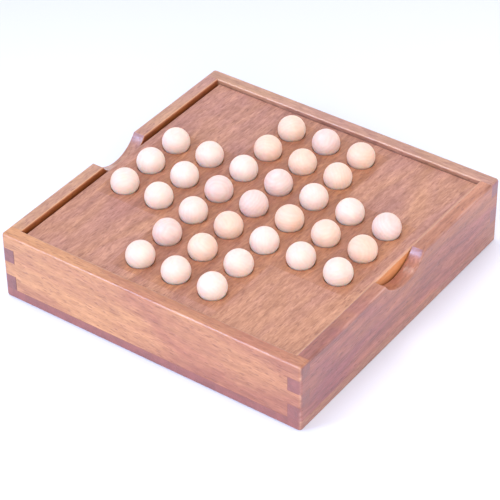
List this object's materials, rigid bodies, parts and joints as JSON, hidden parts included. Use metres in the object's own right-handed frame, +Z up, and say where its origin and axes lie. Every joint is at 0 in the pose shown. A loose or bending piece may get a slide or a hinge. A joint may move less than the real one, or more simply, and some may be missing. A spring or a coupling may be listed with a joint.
{
  "type": "marble solitaire board",
  "caption": "Shallow square wooden case with finger-jointed walls and two finger notches, holding a lift-out solitaire board with a pale wooden marble in every socket.",
  "frame": {"origin": "middle of the case's flat underside", "axes": "+Z up, out of the playing board; +X along the front wall from the left wall to the right wall, which have the finger notches; +Y towards the back wall, along the board's grain"},
  "size_m": [0.145, 0.145, 0.0378],
  "materials": {
    "wall_wood": "satin lacquer over orange-brown hardwood, end grain darker",
    "base_wood": "satin lacquer, dark end grain at front and back",
    "board_wood": "satin lacquer, fine grain from front to back",
    "ledge_wood": "bare wood",
    "marble_cream": "bare turned wood, smooth",
    "marble_peach": "bare turned wood, smooth",
    "marble_rose": "bare turned wood, smooth"
  },
  "bodies": {
    "case": {"base_panel": "base_wood", "front_wall": "wall_wood", "back_wall": "wall_wood", "left_wall": "wall_wood", "right_wall": "wall_wood", "front_ledge": "ledge_wood", "back_ledge": "ledge_wood"},
    "board": {"playing_board": "board_wood"},
    "marble_a3": {"marble_a3": "marble_cream"},
    "marble_a4": {"marble_a4": "marble_cream"},
    "marble_a5": {"marble_a5": "marble_cream"},
    "marble_b3": {"marble_b3": "marble_cream"},
    "marble_b4": {"marble_b4": "marble_cream"},
    "marble_b5": {"marble_b5": "marble_cream"},
    "marble_c1": {"marble_c1": "marble_cream"},
    "marble_c2": {"marble_c2": "marble_rose"},
    "marble_c3": {"marble_c3": "marble_cream"},
    "marble_c4": {"marble_c4": "marble_rose"},
    "marble_c5": {"marble_c5": "marble_cream"},
    "marble_c6": {"marble_c6": "marble_peach"},
    "marble_c7": {"marble_c7": "marble_peach"},
    "marble_d1": {"marble_d1": "marble_cream"},
    "marble_d2": {"marble_d2": "marble_peach"},
    "marble_d3": {"marble_d3": "marble_peach"},
    "marble_d4": {"marble_d4": "marble_rose"},
    "marble_d5": {"marble_d5": "marble_rose"},
    "marble_d6": {"marble_d6": "marble_peach"},
    "marble_d7": {"marble_d7": "marble_rose"},
    "marble_e1": {"marble_e1": "marble_cream"},
    "marble_e2": {"marble_e2": "marble_cream"},
    "marble_e3": {"marble_e3": "marble_cream"},
    "marble_e4": {"marble_e4": "marble_peach"},
    "marble_e5": {"marble_e5": "marble_cream"},
    "marble_e6": {"marble_e6": "marble_peach"},
    "marble_e7": {"marble_e7": "marble_peach"},
    "marble_f3": {"marble_f3": "marble_cream"},
    "marble_f4": {"marble_f4": "marble_peach"},
    "marble_f5": {"marble_f5": "marble_cream"},
    "marble_g3": {"marble_g3": "marble_cream"},
    "marble_g4": {"marble_g4": "marble_peach"},
    "marble_g5": {"marble_g5": "marble_rose"}
  },
  "joints": [
    {"name": "board_lift", "type": "slide", "parent": "case", "child": "board", "axis": [0, 0, 1], "range_m": [0, 0.05]},
    {"name": "marble_a3_lift", "type": "slide", "parent": "board", "child": "marble_a3", "axis": [0, 0, 1], "range_m": [0, 0.025]},
    {"name": "marble_a4_lift", "type": "slide", "parent": "board", "child": "marble_a4", "axis": [0, 0, 1], "range_m": [0, 0.025]},
    {"name": "marble_a5_lift", "type": "slide", "parent": "board", "child": "marble_a5", "axis": [0, 0, 1], "range_m": [0, 0.025]},
    {"name": "marble_b3_lift", "type": "slide", "parent": "board", "child": "marble_b3", "axis": [0, 0, 1], "range_m": [0, 0.025]},
    {"name": "marble_b4_lift", "type": "slide", "parent": "board", "child": "marble_b4", "axis": [0, 0, 1], "range_m": [0, 0.025]},
    {"name": "marble_b5_lift", "type": "slide", "parent": "board", "child": "marble_b5", "axis": [0, 0, 1], "range_m": [0, 0.025]},
    {"name": "marble_c1_lift", "type": "slide", "parent": "board", "child": "marble_c1", "axis": [0, 0, 1], "range_m": [0, 0.025]},
    {"name": "marble_c2_lift", "type": "slide", "parent": "board", "child": "marble_c2", "axis": [0, 0, 1], "range_m": [0, 0.025]},
    {"name": "marble_c3_lift", "type": "slide", "parent": "board", "child": "marble_c3", "axis": [0, 0, 1], "range_m": [0, 0.025]},
    {"name": "marble_c4_lift", "type": "slide", "parent": "board", "child": "marble_c4", "axis": [0, 0, 1], "range_m": [0, 0.025]},
    {"name": "marble_c5_lift", "type": "slide", "parent": "board", "child": "marble_c5", "axis": [0, 0, 1], "range_m": [0, 0.025]},
    {"name": "marble_c6_lift", "type": "slide", "parent": "board", "child": "marble_c6", "axis": [0, 0, 1], "range_m": [0, 0.025]},
    {"name": "marble_c7_lift", "type": "slide", "parent": "board", "child": "marble_c7", "axis": [0, 0, 1], "range_m": [0, 0.025]},
    {"name": "marble_d1_lift", "type": "slide", "parent": "board", "child": "marble_d1", "axis": [0, 0, 1], "range_m": [0, 0.025]},
    {"name": "marble_d2_lift", "type": "slide", "parent": "board", "child": "marble_d2", "axis": [0, 0, 1], "range_m": [0, 0.025]},
    {"name": "marble_d3_lift", "type": "slide", "parent": "board", "child": "marble_d3", "axis": [0, 0, 1], "range_m": [0, 0.025]},
    {"name": "marble_d4_lift", "type": "slide", "parent": "board", "child": "marble_d4", "axis": [0, 0, 1], "range_m": [0, 0.025]},
    {"name": "marble_d5_lift", "type": "slide", "parent": "board", "child": "marble_d5", "axis": [0, 0, 1], "range_m": [0, 0.025]},
    {"name": "marble_d6_lift", "type": "slide", "parent": "board", "child": "marble_d6", "axis": [0, 0, 1], "range_m": [0, 0.025]},
    {"name": "marble_d7_lift", "type": "slide", "parent": "board", "child": "marble_d7", "axis": [0, 0, 1], "range_m": [0, 0.025]},
    {"name": "marble_e1_lift", "type": "slide", "parent": "board", "child": "marble_e1", "axis": [0, 0, 1], "range_m": [0, 0.025]},
    {"name": "marble_e2_lift", "type": "slide", "parent": "board", "child": "marble_e2", "axis": [0, 0, 1], "range_m": [0, 0.025]},
    {"name": "marble_e3_lift", "type": "slide", "parent": "board", "child": "marble_e3", "axis": [0, 0, 1], "range_m": [0, 0.025]},
    {"name": "marble_e4_lift", "type": "slide", "parent": "board", "child": "marble_e4", "axis": [0, 0, 1], "range_m": [0, 0.025]},
    {"name": "marble_e5_lift", "type": "slide", "parent": "board", "child": "marble_e5", "axis": [0, 0, 1], "range_m": [0, 0.025]},
    {"name": "marble_e6_lift", "type": "slide", "parent": "board", "child": "marble_e6", "axis": [0, 0, 1], "range_m": [0, 0.025]},
    {"name": "marble_e7_lift", "type": "slide", "parent": "board", "child": "marble_e7", "axis": [0, 0, 1], "range_m": [0, 0.025]},
    {"name": "marble_f3_lift", "type": "slide", "parent": "board", "child": "marble_f3", "axis": [0, 0, 1], "range_m": [0, 0.025]},
    {"name": "marble_f4_lift", "type": "slide", "parent": "board", "child": "marble_f4", "axis": [0, 0, 1], "range_m": [0, 0.025]},
    {"name": "marble_f5_lift", "type": "slide", "parent": "board", "child": "marble_f5", "axis": [0, 0, 1], "range_m": [0, 0.025]},
    {"name": "marble_g3_lift", "type": "slide", "parent": "board", "child": "marble_g3", "axis": [0, 0, 1], "range_m": [0, 0.025]},
    {"name": "marble_g4_lift", "type": "slide", "parent": "board", "child": "marble_g4", "axis": [0, 0, 1], "range_m": [0, 0.025]},
    {"name": "marble_g5_lift", "type": "slide", "parent": "board", "child": "marble_g5", "axis": [0, 0, 1], "range_m": [0, 0.025]}
  ]
}
